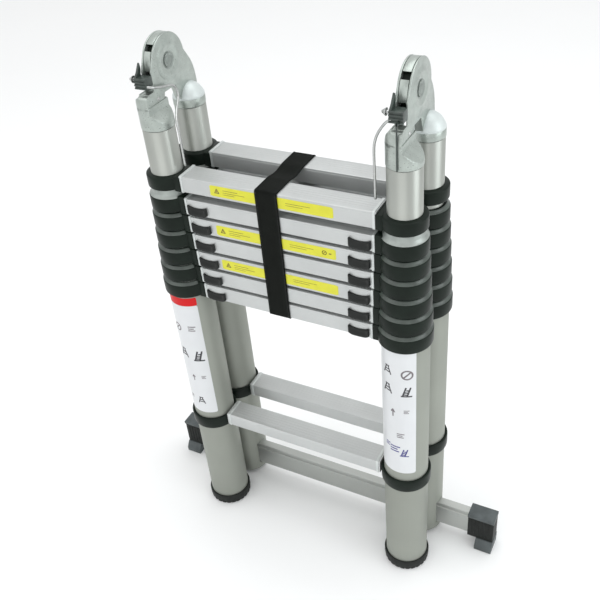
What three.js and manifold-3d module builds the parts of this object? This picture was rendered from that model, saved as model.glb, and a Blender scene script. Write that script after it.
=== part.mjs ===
// Telescopic double ladder, folded flat and collapsed. Millimetres, +Z up.
// The origin is on the floor under the middle of the folded ladder. The front half is at -Y,
// the rear half at +Y, and the fold hinges turn about an X axis above the top rungs.
import * as THREE from "three";
import { mergeVertices } from "three/addons/utils/BufferGeometryUtils.js";
import Module from "manifold-3d";

const wasm = await Module();
wasm.setup();

// ---- Driving dimensions ----
const STILE_X = 200; // stile axis to the middle plane, across the ladder
const STILE_Y = 44.3; // stile axis to the plane between the two halves
const SECTIONS = 7; // telescoping sections in each half
const ROUND_SIDES = 16; // facets round a tube

const TUBE_R = 25.45; // outer radius of the thinnest tube, section 1
const TUBE_STEP = 2.15; // each section's tube is this much larger in radius
const TUBE_WALL = 1.25;
const TUBE_BELOW_COLLAR = 400; // collar top to the tube's lower end, sections 1 to 6
const TUBE_1_TOP = 842.5;

const COLLAR_R = 43.35; // radius of the largest collar, section 7
const COLLAR_STEP = 1.6;
const COLLAR_TALL = 24.5;
const COLLAR_1_TALL = 21.5;
const COLLAR_1_LOW = 746.5;
const COLLAR_2_LOW = 707.5;
const STACK_PITCH = 32.7; // height from one stacked rung to the next
const LIP_TALL = 5.2; // bevelled lip on top of a collar
const LIP_IN = 5.5;
const RING_LOW = 228; // ring that holds the bottom rung
const RING_TALL = 25;

const RUNG_DEEP = 40;
const RUNG_TALL = 27;
const RUNG_WALL = 2;
const RUNG_UNDER_COLLAR = 2.5;
const BLOCK_OUT = 2.5; // flat block between collar and rung
const BLOCK_DEEP = 44;
const DRAIN = 8;

const LATCH_LONG = 35;
const LATCH_FROM_BLOCK = 6;
const LATCH_TALL = 17.3;
const LATCH_THICK = 4.5;
const LATCH_SCOOP = 3;
const LATCH_TRAVEL = 10;
const STEM_LONG = 10;
const STEM_TALL = 8;
const STEM_DEEP = 9;
const GAP = 0.35; // running gap between touching pieces

const PIVOT_Z = 930;
const HINGE_X = 199;
const HINGE_SHIFT = -2.8; // the two hinges are the same casting, set off the stile axes towards -X
const DISC_R = 41;
const TONGUE_THICK = 12;
const CHEEK_THICK = 3;
const CHEEK_GAP = 0.5;
const CAP_R = 26.2;
const CAP_LOW = 843;
const CAP_SHOULDER = 854; // the rear cap is a half ball above this height
const CAP_TOP = 880;
const CAP_FLAT = 10.5; // hinge middle to the flat on the front cap's +X side
const FLAT_LOW = 868;
const SLOPE_LOW = 850;
const HORN = { low: 866, high: 892, lowX: 24.5, highX: 15.5, half: 24 }; // flare on the -X side
const PIN_R = 6;
const PIN_HOLE_R = 6.35;
const PIN_HEAD_R = 11.5;
const PIN_HEAD_THICK = 2;
const NOTCH_WIDE = 11;
const NOTCH_DEEP = 8;
const NOTCH_ANGLES = [194, 137, 14]; // folded, stepladder and straight, in degrees

const LOCK = { from: -10.2, to: 9.8, front: -66, back: -48.5, low: 908, high: 924 };
const LOCK_TRAVEL = 8;
const LOCK_TAIL_LOW = 844;
const BAIL_R = 2.2;
const BAIL_X = 158.6;
const BAIL_Y = -50;

const FOOT_R = 42;
const FOOT_TALL = 23;
const FOOT_FLOOR = 4;

const BAR_Y = STILE_Y - 7; // the bar sits a little forward of the rear stile axes
const BAR_DEEP = 20;
const BAR_LOW = 24;
const BAR_HIGH = 81;
const BAR_WALL = 2;
const BAR_HALF = 337;
const BAR_FOOT = { inX: 298, outX: 349, deep: 32, low: 21, high: 83.5 };
const BAR_PAD_IN = 316;
const BAR_PAD_FRONT = 13; // the pad under each end slopes forward to here
const REAR_TUBE_LOW = 8;
const BOLT_R = 4;
const BOLT_HEAD_R = 7.5;
const BOLT_HEAD_THICK = 4;

const STRAP_X = -10; // middle of the webbing, along the rungs
const STRAP_WIDE = 38;
const STRAP_THICK = 2;
const STRAP_ROUND = 7;

// ---- Materials ----
const FINISH = {
  aluminium: [0xb9bdbd, 0.38, 0.9],
  casting: [0xa4aaa8, 0.5, 0.7],
  steel: [0x8d9290, 0.35, 0.9],
  blackPlastic: [0x17191a, 0.55, 0],
  rubber: [0x131414, 0.85, 0],
  webbing: [0x1b1d1f, 0.95, 0],
};

function material(name) {
  const [color, roughness, metalness] = FINISH[name];
  return new THREE.MeshStandardMaterial({ color, roughness, metalness });
}

// ---- Solids ----
function signedVolume(p, t) {
  let sum = 0;
  for (let k = 0; k < t.length; k += 3) {
    const [a, b, c] = [t[k] * 3, t[k + 1] * 3, t[k + 2] * 3];
    sum += p[a] * (p[b + 1] * p[c + 2] - p[b + 2] * p[c + 1]);
    sum += p[a + 1] * (p[b + 2] * p[c] - p[b] * p[c + 2]);
    sum += p[a + 2] * (p[b] * p[c + 1] - p[b + 1] * p[c]);
  }
  return sum;
}

function solid(source) {
  const bare = source.index ? source.toNonIndexed() : source.clone();
  bare.deleteAttribute("normal");
  bare.deleteAttribute("uv");
  const merged = mergeVertices(bare, 1e-4);
  const vertProperties = new Float32Array(merged.attributes.position.array);
  const corners = merged.index.array;
  const kept = [];
  for (let k = 0; k < corners.length; k += 3) {
    const [a, b, c] = [corners[k], corners[k + 1], corners[k + 2]];
    if (a !== b && b !== c && c !== a) {
      kept.push(a, b, c);
    }
  }
  if (signedVolume(vertProperties, kept) < 0) {
    kept.reverse();
  }
  const triVerts = new Uint32Array(kept);
  return new wasm.Manifold(new wasm.Mesh({ numProp: 3, vertProperties, triVerts }));
}

function join(...pieces) {
  return pieces.reduce((whole, piece) => whole.add(piece));
}

function cut(whole, ...cutters) {
  return cutters.reduce((rest, cutter) => rest.subtract(cutter), whole);
}

function box(x0, x1, y0, y1, z0, z1) {
  const shape = new THREE.BoxGeometry(Math.abs(x1 - x0), Math.abs(y1 - y0), Math.abs(z1 - z0));
  return solid(shape.translate((x0 + x1) / 2, (y0 + y1) / 2, (z0 + z1) / 2));
}

// A turned solid about a vertical axis at (x, y). The profile is a list of [radius, height].
function turned(profile, x, y, sides = ROUND_SIDES) {
  const points = profile.map(([r, z]) => new THREE.Vector2(r, z));
  const shape = new THREE.LatheGeometry(points, sides);
  return solid(shape.rotateX(Math.PI / 2).translate(x, y, 0));
}

function rod(radius, z0, z1, x, y, sides = ROUND_SIDES) {
  return turned([[0, z0], [radius, z0], [radius, z1], [0, z1]], x, y, sides);
}

// A rod along X, for pins.
function crossRod(radius, x0, x1, y, z, sides = 12) {
  const shape = new THREE.CylinderGeometry(radius, radius, Math.abs(x1 - x0), sides);
  return solid(shape.rotateZ(Math.PI / 2).translate((x0 + x1) / 2, y, z));
}

// A rod along Y, for bolts.
function deepRod(radius, y0, y1, x, z, sides = 12) {
  const shape = new THREE.CylinderGeometry(radius, radius, Math.abs(y1 - y0), sides);
  return solid(shape.translate(x, (y0 + y1) / 2, z));
}

// A plate in the YZ plane between two heights along X. The outline is a list of [y, z].
function plateX(outline, x0, x1, hole = null) {
  const shape = new THREE.Shape(outline.map(([y, z]) => new THREE.Vector2(y, z)));
  if (hole) {
    shape.holes.push(new THREE.Path(hole.map(([y, z]) => new THREE.Vector2(y, z))));
  }
  const geometry = new THREE.ExtrudeGeometry(shape, { depth: Math.abs(x1 - x0), bevelEnabled: false });
  const turn = new THREE.Matrix4().set(0, 0, 1, 0, 1, 0, 0, 0, 0, 1, 0, 0, 0, 0, 0, 1);
  return solid(geometry.applyMatrix4(turn).translate(Math.min(x0, x1), 0, 0));
}

// A plate in the XZ plane between y0 and y1. The outline is a list of [x, z].
function plateY(outline, y0, y1) {
  const shape = new THREE.Shape(outline.map(([x, z]) => new THREE.Vector2(x, z)));
  const geometry = new THREE.ExtrudeGeometry(shape, { depth: Math.abs(y1 - y0), bevelEnabled: false });
  return solid(geometry.rotateX(Math.PI / 2).translate(0, Math.max(y0, y1), 0));
}

function arc(y, z, radius, from, to, steps) {
  const points = [];
  for (let k = 0; k <= steps; k++) {
    const angle = THREE.MathUtils.degToRad(from + ((to - from) * k) / steps);
    points.push([y + radius * Math.cos(angle), z + radius * Math.sin(angle)]);
  }
  return points;
}

function roundedRect(y0, y1, z0, z1, radius, steps = 3) {
  return [
    ...arc(y0 + radius, z0 + radius, radius, 180, 270, steps),
    ...arc(y1 - radius, z0 + radius, radius, 270, 360, steps),
    ...arc(y1 - radius, z1 - radius, radius, 0, 90, steps),
    ...arc(y0 + radius, z1 - radius, radius, 90, 180, steps),
  ];
}

// ---- Sizes that follow from the driving dimensions ----
const tubeR = (i) => TUBE_R + TUBE_STEP * (i - 1);
const boreR = (i) => tubeR(i) - TUBE_WALL;
const collarR = (i) => COLLAR_R - COLLAR_STEP * (SECTIONS - i);
const collarLow = (i) => (i === 1 ? COLLAR_1_LOW : COLLAR_2_LOW - STACK_PITCH * (i - 2));
const collarTop = (i) => collarLow(i) + (i === 1 ? COLLAR_1_TALL : COLLAR_TALL);
const lipTop = (i) => collarTop(i) + (i === 1 ? 1.5 : LIP_TALL);
const tubeLow = (i) => collarTop(i) - TUBE_BELOW_COLLAR;
const blockX = (radius) => STILE_X - radius - BLOCK_OUT;
const hingeX = (s) => s * HINGE_X + HINGE_SHIFT;

const HALVES = [
  { name: "front", y: -STILE_Y, out: -1 },
  { name: "rear", y: STILE_Y, out: 1 },
];
const SIDES = [
  { name: "left", s: -1 },
  { name: "right", s: 1 },
];

// ---- Rungs, collars and tubes ----
// A hollow box rung with a flat block at each end, reaching into both collars.
function rungSolid(y, low, radius, blockLow, blockHigh) {
  const end = STILE_X - radius + 8;
  const half = RUNG_DEEP / 2;
  const blockEnd = blockX(radius);
  const beam = box(-end, end, y - half, y + half, low, low + RUNG_TALL);
  const blocks = SIDES.map(({ s }) =>
    box(s * blockEnd, s * end, y - BLOCK_DEEP / 2, y + BLOCK_DEEP / 2, blockLow, blockHigh));
  return join(beam, ...blocks);
}

function rungHollow(y, low, radius) {
  const end = blockX(radius) - 2;
  const half = RUNG_DEEP / 2 - RUNG_WALL;
  return box(-end, end, y - half, y + half, low + RUNG_WALL, low + RUNG_TALL - RUNG_WALL);
}

// Slots in the rung's outer wall where the latch stems run.
function latchSlots(half, i) {
  const face = half.y + (half.out * RUNG_DEEP) / 2;
  return SIDES.map(({ s }) => {
    const stem = latchMiddle(i);
    const outer = stem + STEM_LONG / 2 + 0.6;
    const inner = stem - STEM_LONG / 2 - LATCH_TRAVEL - 0.6;
    const z = latchLow(i) + LATCH_TALL / 2;
    const reach = RUNG_WALL + 1;
    return box(s * inner, s * outer, face - reach, face + reach, z - STEM_TALL / 2 - 0.5, z + STEM_TALL / 2 + 0.5);
  });
}

function drains(half, low, radius) {
  return SIDES.map(({ s }) => {
    const x = s * (blockX(radius) - 20);
    return box(x - DRAIN / 2, x + DRAIN / 2, half.y - DRAIN / 2, half.y + DRAIN / 2, low - 1, low + RUNG_WALL + 1);
  });
}

const rungLow = (i) => collarLow(i) - RUNG_UNDER_COLLAR;

// One telescoping section: two tubes with their collars and the rung between them.
function section(half, i) {
  const top = i === 1 ? TUBE_1_TOP : lipTop(i);
  const outerTube = (s) => {
    const profile = [[0, tubeLow(i)], [tubeR(i), tubeLow(i)], [tubeR(i), collarLow(i)],
      [collarR(i), collarLow(i)], [collarR(i), collarTop(i)]];
    if (i === 1) {
      profile.push([tubeR(i) + 4, lipTop(i)], [tubeR(i), lipTop(i)], [tubeR(i), top], [0, top]);
    } else {
      profile.push([collarR(i) - LIP_IN, top], [0, top]);
    }
    return turned(profile, s * STILE_X, half.y);
  };
  const rung = rungSolid(half.y, rungLow(i), collarR(i), collarLow(i) + 1, collarTop(i) - 1);
  const openings = i === 1 ? drains(half, rungLow(i), collarR(i)) : latchSlots(half, i);
  const bores = SIDES.map(({ s }) => rod(boreR(i), tubeLow(i) - 1, top + 1, s * STILE_X, half.y));
  const whole = join(...SIDES.map(({ s }) => outerTube(s)), rung);
  return cut(whole, rungHollow(half.y, rungLow(i), collarR(i)), ...openings, ...bores);
}

// The uppermost rung of the base section, with the collars that close the base tubes.
function baseUpperRung(half) {
  const i = SECTIONS;
  const shoulder = collarTop(i) - 2;
  const collars = SIDES.map(({ s }) => turned([[0, collarLow(i)], [collarR(i), collarLow(i)],
    [collarR(i), collarTop(i)], [collarR(i) - LIP_IN, lipTop(i)], [0, lipTop(i)]], s * STILE_X, half.y));
  const sockets = SIDES.map(({ s }) => turned([[0, rungLow(i) - 1], [tubeR(i) + GAP, rungLow(i) - 1],
    [tubeR(i) + GAP, shoulder + GAP], [boreR(i), shoulder + GAP], [boreR(i), lipTop(i) + 1],
    [0, lipTop(i) + 1]], s * STILE_X, half.y));
  const rung = rungSolid(half.y, rungLow(i), collarR(i), collarLow(i) + 1, collarTop(i) - 1);
  const hollow = rungHollow(half.y, rungLow(i), collarR(i));
  return cut(join(...collars, rung), hollow, ...latchSlots(half, i), ...sockets);
}

function baseLowerRung(half) {
  const radius = collarR(SECTIONS);
  const low = RING_LOW + 4;
  const rings = SIDES.map(({ s }) => rod(radius, RING_LOW, RING_LOW + RING_TALL, s * STILE_X, half.y));
  const bores = SIDES.map(({ s }) =>
    rod(tubeR(SECTIONS) + GAP, RING_LOW - 1, RING_LOW + RING_TALL + 1, s * STILE_X, half.y));
  const shortBlock = rungSolid(half.y, low, radius, RING_LOW, RING_LOW + RING_TALL);
  const aboveRing = SIDES.map(({ s }) => box(s * (STILE_X - radius + 1), s * (STILE_X + radius),
    half.y - RUNG_DEEP, half.y + RUNG_DEEP, RING_LOW + RING_TALL, low + RUNG_TALL + 1));
  const hollow = rungHollow(half.y, low, radius);
  return cut(join(...rings, shortBlock), ...aboveRing, hollow, ...drains(half, low, radius), ...bores);
}

function baseTube(half, s, low) {
  const i = SECTIONS;
  const top = collarTop(i) - 2;
  const profile = [[boreR(i), low], [tubeR(i), low], [tubeR(i), top], [boreR(i), top], [boreR(i), low]];
  return turned(profile, s * STILE_X, half.y);
}

// The rear base tubes are slotted for the stabilizer bar and drilled for its bolt.
function slottedTube(half, s) {
  const slot = box(s * (STILE_X - 60), s * (STILE_X + 60), BAR_Y - BAR_DEEP / 2 - GAP,
    BAR_Y + BAR_DEEP / 2 + GAP, BAR_LOW - GAP, BAR_HIGH + GAP);
  const drill = deepRod(BOLT_R + GAP, half.y, half.y + 60, s * STILE_X, (BAR_LOW + BAR_HIGH) / 2);
  return cut(baseTube(half, s, REAR_TUBE_LOW), slot, drill);
}

// ---- Latches ----
const latchMiddle = (i) => blockX(collarR(i)) - LATCH_FROM_BLOCK - LATCH_LONG / 2;
const latchLow = (i) => rungLow(i) + 0.4;

function latch(half, i, s) {
  const face = half.y + half.out * (RUNG_DEEP / 2 + GAP);
  const x = s * latchMiddle(i);
  const low = latchLow(i);
  const high = low + LATCH_TALL;
  const a = LATCH_LONG / 2;
  const scoop = arc(x, high + 20, Math.hypot(a - 4, 20), -90 + 33, -90 - 33, 6)
    .map(([px, pz]) => [px, Math.min(high, Math.max(high - LATCH_SCOOP, pz + LATCH_SCOOP + 1))]);
  const outline = [[x - a, low], [x + a, low], [x + a, high], ...scoop, [x - a, high]];
  const plate = plateY(outline, face, face + half.out * LATCH_THICK);
  const z = low + LATCH_TALL / 2;
  const stem = box(x - STEM_LONG / 2, x + STEM_LONG / 2, face + half.out, face - half.out * STEM_DEEP,
    z - STEM_TALL / 2, z + STEM_TALL / 2);
  return join(plate, stem);
}

// ---- Fold hinges ----
// The caps plug into the tops of the section 1 tubes.
function hingeCap(x, y, crown) {
  return turned([[0, CAP_LOW - 45], [boreR(1) - GAP, CAP_LOW - 45], [boreR(1) - GAP, CAP_LOW],
    [CAP_R, CAP_LOW], ...crown], x, y);
}

function domedCap(x, y) {
  const dome = arc(0, CAP_SHOULDER, CAP_R, 0, 90, 4).slice(0, -1);
  return hingeCap(x, y, [...dome, [0, CAP_SHOULDER + CAP_R]]);
}

// The front cap: a flat with a sloped shoulder on its +X side, and a flare that narrows upwards
// on its -X side.
function flattedCap(s, y) {
  const x = hingeX(s);
  const [front, back] = [y - CAP_R - 1, y + CAP_R + 1];
  const { low, high, lowX, highX, half } = HORN;
  const flat = plateY([[x + CAP_FLAT, CAP_TOP + 1], [x + CAP_FLAT, FLAT_LOW], [x + CAP_R + 5, SLOPE_LOW],
    [x + CAP_R + 5, CAP_TOP + 1]], front, back);
  const horn = plateY([[x - lowX, low], [x - 6, low], [x - 6, high], [x - highX, high]], y - half, y + half);
  const taper = plateY([[x - lowX, low], [x - highX, high], [x - 40, high], [x - 40, low]], front, back);
  const cap = hingeCap(s * STILE_X, y, [[CAP_R, CAP_TOP], [0, CAP_TOP]]);
  return cut(cap, flat, taper).add(horn.intersect(rod(CAP_R, low - 1, high + 1, s * STILE_X, y)));
}

function cheekOutline() {
  return [[-66, 888], [-62, 878], [-26, 878], [-22, 888], [8, 888], [22, 897], [31, 904.5],
    ...arc(0, PIVOT_Z, DISC_R, -34, 146, 9)];
}

function tongueOutline() {
  const disc = DISC_R - 0.4;
  return [[65.6, 889], [67, 872], [64, 857], [20, 857], [13, 880],
    ...arc(0, PIVOT_Z, disc, -78, -326, 14), [45.5, 930.5], [59, 909.5]];
}

function notchCutter(degrees, x0, x1) {
  const angle = THREE.MathUtils.degToRad(degrees);
  const along = [Math.cos(angle), Math.sin(angle)];
  const across = [-along[1], along[0]];
  const corner = (u, v) => [u * along[0] + v * across[0], PIVOT_Z + u * along[1] + v * across[1]];
  const w = NOTCH_WIDE / 2;
  const [near, far] = [DISC_R - NOTCH_DEEP, DISC_R + 8];
  return plateX([corner(near, -w), corner(far, -w), corner(far, w), corner(near, w)], x0, x1);
}

function hingeShell(s) {
  const x = hingeX(s);
  const inside = TONGUE_THICK / 2 + CHEEK_GAP;
  const outside = inside + CHEEK_THICK;
  const cheeks = [-1, 1].map((k) => plateX(cheekOutline(), x + k * inside, x + k * outside));
  const neck = plateX([[-62, 876], [-26, 876], [-24, 887], [-63, 887]], x - inside - 0.5, x + inside + 0.5);
  const lockWindow = box(x - outside - 2, x + outside + 2, LOCK.front - 6, LOCK.back + 2,
    LOCK.low - LOCK_TRAVEL - 1.5, LOCK.high + 3);
  const hole = crossRod(PIN_HOLE_R, x - outside - 1, x + outside + 1, 0, PIVOT_Z);
  const brow = plateX([[-72, 876], [-69.5, 893], [-67, 897.5], [-60, 897.5], [-60, 876]], x - 8, x + outside)
    .intersect(rod(CAP_R, 875, 899, s * STILE_X, -STILE_Y));
  return cut(join(flattedCap(s, -STILE_Y), neck, brow, ...cheeks), lockWindow, hole);
}

function hingeTongue(s) {
  const x = hingeX(s);
  const half = TONGUE_THICK / 2;
  const plate = plateX(tongueOutline(), x - half, x + half);
  const notches = NOTCH_ANGLES.map((a) => notchCutter(a, x - half - 1, x + half + 1));
  const hole = crossRod(PIN_HOLE_R, x - half - 1, x + half + 1, 0, PIVOT_Z);
  return cut(join(domedCap(s * STILE_X, STILE_Y), plate), ...notches, hole);
}

function hingePin(s) {
  const x = hingeX(s);
  const grip = TONGUE_THICK / 2 + CHEEK_GAP + CHEEK_THICK + GAP;
  const shank = crossRod(PIN_R, x - grip - 1, x + grip + 1, 0, PIVOT_Z);
  const heads = [-1, 1].map((k) =>
    crossRod(PIN_HEAD_R, x + k * grip, x + k * (grip + PIN_HEAD_THICK), 0, PIVOT_Z, 16));
  return join(shank, ...heads);
}

// The sliding lock: a cross bar with a cone-headed pin and the wire bail that reaches down to the
// top rung. The pin points to -X on both hinges. Only the right one has a guide tail.
function hingeLock(s) {
  const { from, to, front, back, low, high } = LOCK;
  const [x0, x1] = [hingeX(s) + from, hingeX(s) + to];
  const block = box(x0, x1, front, back, low, high);
  const foot = box(s * STILE_X - 2, s * STILE_X + 2, front + 1, -STILE_Y - CAP_R - 4.2, low, low + 4);
  const tail = box(s * STILE_X - 2, s * STILE_X + 2, -STILE_Y - CAP_R - 0.8,
    -STILE_Y - CAP_R - 4.2, LOCK_TAIL_LOW, low + 4);
  const bend = s > 0
    ? [[x0 + 3, -63, low + 4], [x0 - 6, -61, low - 3], [168.5, -56, low - 19], [161.5, -52, low - 34],
      [BAIL_X, BAIL_Y, low - 50]]
    : [[x1 - 3, -63, low + 4], [-186, -53, low], [-184, -31, low - 6], [-183, -14, low - 11],
      [-181, -8, low - 22], [-178, -13, low - 32], [-170, -32, low - 42], [-162, -47, low - 52],
      [-BAIL_X, BAIL_Y, low - 66]];
  const points = [...bend, [s * BAIL_X, BAIL_Y, low - 120], [s * BAIL_X, BAIL_Y, low - 125]];
  const path = new THREE.CatmullRomCurve3(points.map((point) => new THREE.Vector3(...point)), false, "centripetal");
  const ring = arc(0, 0, BAIL_R, 0, 300, 5).map(([a, b]) => new THREE.Vector2(a, b));
  const wire = new THREE.ExtrudeGeometry(new THREE.Shape(ring), { steps: s > 0 ? 20 : 30, extrudePath: path });
  const pin = crossRod(2.6, x0 + 2, x0 - 7, front + 7, high - 4, 8);
  const cone = new THREE.CylinderGeometry(1.2, 5.5, 7, 8).rotateZ(Math.PI / 2);
  const head = solid(cone.translate(x0 - 8, front + 7, high - 4));
  return join(block, solid(wire), pin, head, ...(s > 0 ? [foot, tail] : []));
}

// ---- Feet, stabilizer bar and strap ----
function frontFoot(s) {
  const shell = turned([[0, 0], [FOOT_R - 3, 0], [FOOT_R, 4], [FOOT_R, FOOT_TALL - 3],
    [FOOT_R - 1.5, FOOT_TALL], [0, FOOT_TALL]], s * STILE_X, -STILE_Y);
  const socket = rod(tubeR(SECTIONS) + GAP, FOOT_FLOOR, FOOT_TALL + 1, s * STILE_X, -STILE_Y);
  return cut(shell, socket);
}

function stabilizerBar() {
  const y = BAR_Y;
  const outer = box(-BAR_HALF, BAR_HALF, y - BAR_DEEP / 2, y + BAR_DEEP / 2, BAR_LOW, BAR_HIGH);
  const inner = box(-BAR_HALF - 1, BAR_HALF + 1, y - BAR_DEEP / 2 + BAR_WALL, y + BAR_DEEP / 2 - BAR_WALL,
    BAR_LOW + BAR_WALL, BAR_HIGH - BAR_WALL);
  const drills = SIDES.map(({ s }) =>
    deepRod(BOLT_R + GAP, y - 20, y + 20, s * STILE_X, (BAR_LOW + BAR_HIGH) / 2));
  return cut(outer, inner, ...drills);
}

function barFoot(s) {
  const y = BAR_Y;
  const { inX, outX, deep, low, high } = BAR_FOOT;
  const shell = box(s * inX, s * outX, y - deep / 2, y + deep / 2, low, high);
  const pad = plateX([[BAR_PAD_FRONT, 0], [y + deep / 2, 0], [y + deep / 2, low + 2], [y - deep / 2, low + 2],
    [BAR_PAD_FRONT, 9]], s * BAR_PAD_IN, s * outX);
  const socket = box(s * (inX - 1), s * (BAR_HALF + GAP), y - BAR_DEEP / 2 - GAP, y + BAR_DEEP / 2 + GAP,
    BAR_LOW - GAP, BAR_HIGH + GAP);
  return cut(join(shell, pad), socket);
}

// The bolt enters from behind, through the tube's back wall and both walls of the bar.
function barBolt(s) {
  const x = s * STILE_X;
  const z = (BAR_LOW + BAR_HIGH) / 2;
  const seat = STILE_Y + tubeR(SECTIONS) + GAP;
  const shank = deepRod(BOLT_R, BAR_Y - BAR_DEEP / 2 - 6, seat + 1, x, z);
  const head = deepRod(BOLT_HEAD_R, seat, seat + BOLT_HEAD_THICK, x, z, 6);
  return join(shank, head);
}

function carryStrap() {
  const y = STILE_Y + RUNG_DEEP / 2 + GAP;
  const low = rungLow(SECTIONS) - GAP;
  const high = rungLow(1) + RUNG_TALL + GAP;
  const t = STRAP_THICK;
  const outer = roundedRect(-y - t, y + t, low - t, high + t, STRAP_ROUND);
  const inner = roundedRect(-y, y, low, high, 0.5, 1);
  return plateX(outer, STRAP_X - STRAP_WIDE / 2, STRAP_X + STRAP_WIDE / 2, inner);
}

// ---- Assembly ----
const ladder = new THREE.Group();

function place(name, shape, finish) {
  const { vertProperties, triVerts } = shape.getMesh();
  const geometry = new THREE.BufferGeometry();
  geometry.setAttribute("position", new THREE.BufferAttribute(vertProperties, 3));
  geometry.setIndex(new THREE.BufferAttribute(triVerts, 1));
  geometry.computeVertexNormals();
  const mesh = new THREE.Mesh(geometry, material(finish));
  mesh.name = name;
  ladder.add(mesh);
}

for (const half of HALVES) {
  for (let i = 1; i < SECTIONS; i++) {
    place(`${half.name}_section_${i}`, section(half, i), "aluminium");
  }
  place(`${half.name}_base_upper_rung`, baseUpperRung(half), "aluminium");
  place(`${half.name}_base_lower_rung`, baseLowerRung(half), "aluminium");
  for (const { name, s } of SIDES) {
    for (let i = 2; i <= SECTIONS; i++) {
      place(`${half.name}_latch_${i}_${name}`, latch(half, i, s), "blackPlastic");
    }
  }
}

for (const { name, s } of SIDES) {
  place(`front_base_tube_${name}`, baseTube(HALVES[0], s, FOOT_FLOOR + GAP), "aluminium");
  place(`rear_base_tube_${name}`, slottedTube(HALVES[1], s), "aluminium");
  place(`front_foot_${name}`, frontFoot(s), "rubber");
  place(`hinge_shell_${name}`, hingeShell(s), "casting");
  place(`hinge_tongue_${name}`, hingeTongue(s), "casting");
  place(`hinge_pin_${name}`, hingePin(s), "steel");
  place(`hinge_lock_${name}`, hingeLock(s), "blackPlastic");
  place(`bar_foot_${name}`, barFoot(s), "rubber");
  place(`bar_bolt_${name}`, barBolt(s), "steel");
}
place("stabilizer_bar", stabilizerBar(), "aluminium");
place("carry_strap", carryStrap(), "webbing");

export default ladder;
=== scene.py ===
import math

import bmesh
import bpy
from mathutils import Matrix, Vector


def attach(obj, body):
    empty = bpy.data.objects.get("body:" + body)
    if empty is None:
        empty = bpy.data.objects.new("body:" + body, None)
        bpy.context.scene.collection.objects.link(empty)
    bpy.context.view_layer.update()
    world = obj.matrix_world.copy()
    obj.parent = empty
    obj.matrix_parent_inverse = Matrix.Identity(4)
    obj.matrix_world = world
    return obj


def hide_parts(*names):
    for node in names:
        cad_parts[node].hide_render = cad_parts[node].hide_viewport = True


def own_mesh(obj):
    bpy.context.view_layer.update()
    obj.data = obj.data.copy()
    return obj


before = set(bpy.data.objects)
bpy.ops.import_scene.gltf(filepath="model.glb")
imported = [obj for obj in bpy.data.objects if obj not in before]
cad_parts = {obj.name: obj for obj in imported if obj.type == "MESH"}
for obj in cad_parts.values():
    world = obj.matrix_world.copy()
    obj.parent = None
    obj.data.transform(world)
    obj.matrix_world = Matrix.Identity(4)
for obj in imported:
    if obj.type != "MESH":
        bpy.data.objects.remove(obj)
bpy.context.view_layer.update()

# ---- Dimensions in millimetres, as in part.mjs ----
MM = 0.001
STILE_X = 200
STILE_Y = 44.3
SECTIONS = 7
STILE_SIDES = 72
TUBE_WALL = 1.25
TUBE_BELOW_COLLAR = 400
TUBE_1_TOP = 842.5
BASE_TUBE_LOW = {"front": 4.35, "rear": 8}
RING_LOW, RING_HIGH = 228, 253
RUNG_DEEP, RUNG_TALL = 40, 27
LOWER_RUNG_LOW = 232
BLOCK_OUT, BLOCK_IN, BLOCK_HALF_DEEP = 2.5, 9, 22
LATCH_LONG, LATCH_TALL, LATCH_THICK = 35, 17.3, 4.5
LATCH_FROM_BLOCK = 6
GAP = 0.35
PIVOT_Z = 930
HINGE_X, HINGE_SHIFT = 199, -2.8
CHEEK_IN, CHEEK_OUT = 6.5, 9.5
TONGUE_HALF = 6
DISC_R = 41
NOTCH_DEEP, NOTCH_WIDE = 8, 11
NOTCH_ANGLES = (194, 137, 14)
NOTCH_SHADE_LINING = 0.4
CAP_R = 26.2
CAP_LOW = 843
LOCK_FROM, LOCK_TO = -10.2, 9.8
LOCK_FRONT, LOCK_BACK = -66, -48.5
LOCK_LOW, LOCK_HIGH = 908, 924
BAIL_X, BAIL_R = 158.6, 1.9
RIVET_AT, LOCK_PIN_AT = (-41, 885), (-59, 920)
FOOT_R, FOOT_TALL, FOOT_SIDES = 42, 23, 144
BAR_Y = STILE_Y - 7
BAR_DEEP = 20
BAR_LOW, BAR_HIGH, BAR_HALF = 24, 81, 337
BAR_FOOT_IN, BAR_FOOT_OUT = 298, 349
BAR_FOOT_LOW, BAR_FOOT_HIGH, BAR_FOOT_DEEP = 21, 83.5, 32
BAR_PAD_IN, BAR_PAD_FRONT = 316, 13
STRAP_X, STRAP_WIDE, STRAP_THICK = -10, 38, 1.8
STRAP_GAP = 0.45
STRAP_REACH = STILE_Y + RUNG_DEEP / 2 + STRAP_GAP
FILM = 0.16
INK, INK_ON_TUBE = 0.05, 0.06

HALVES = [("front", -STILE_Y, -1), ("rear", STILE_Y, 1)]
SIDES = [("left", -1), ("right", 1)]


def tube_r(i):
    return 25.45 + 2.15 * (i - 1)


def collar_r(i):
    return 43.35 - 1.6 * (SECTIONS - i)


def collar_low(i):
    return 746.5 if i == 1 else 707.5 - 32.7 * (i - 2)


def collar_top(i):
    return collar_low(i) + (21.5 if i == 1 else 24.5)


def rung_low(i):
    return collar_low(i) - 2.5


def block_x(radius):
    return STILE_X - radius - BLOCK_OUT


def body_of(half, i):
    if i == SECTIONS:
        return f"{half}_base"
    return f"{half}_top" if i == 1 else f"{half}_tier_{i}"


# ---- Materials ----
def noise(tree, vector, scale, detail):
    made = tree.nodes.new("ShaderNodeTexNoise")
    made.inputs["Scale"].default_value = scale
    made.inputs["Detail"].default_value = detail
    tree.links.new(vector, made.inputs["Vector"])
    return made


def ramp(tree, value, *stops):
    """A colour ramp over a value, with a position and a colour at each of its two stops."""
    made = tree.nodes.new("ShaderNodeValToRGB")
    for element, (position, color) in zip(made.color_ramp.elements, stops):
        element.position = position
        element.color = color
    tree.links.new(value, made.inputs["Fac"])
    return made.outputs["Color"]


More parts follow.
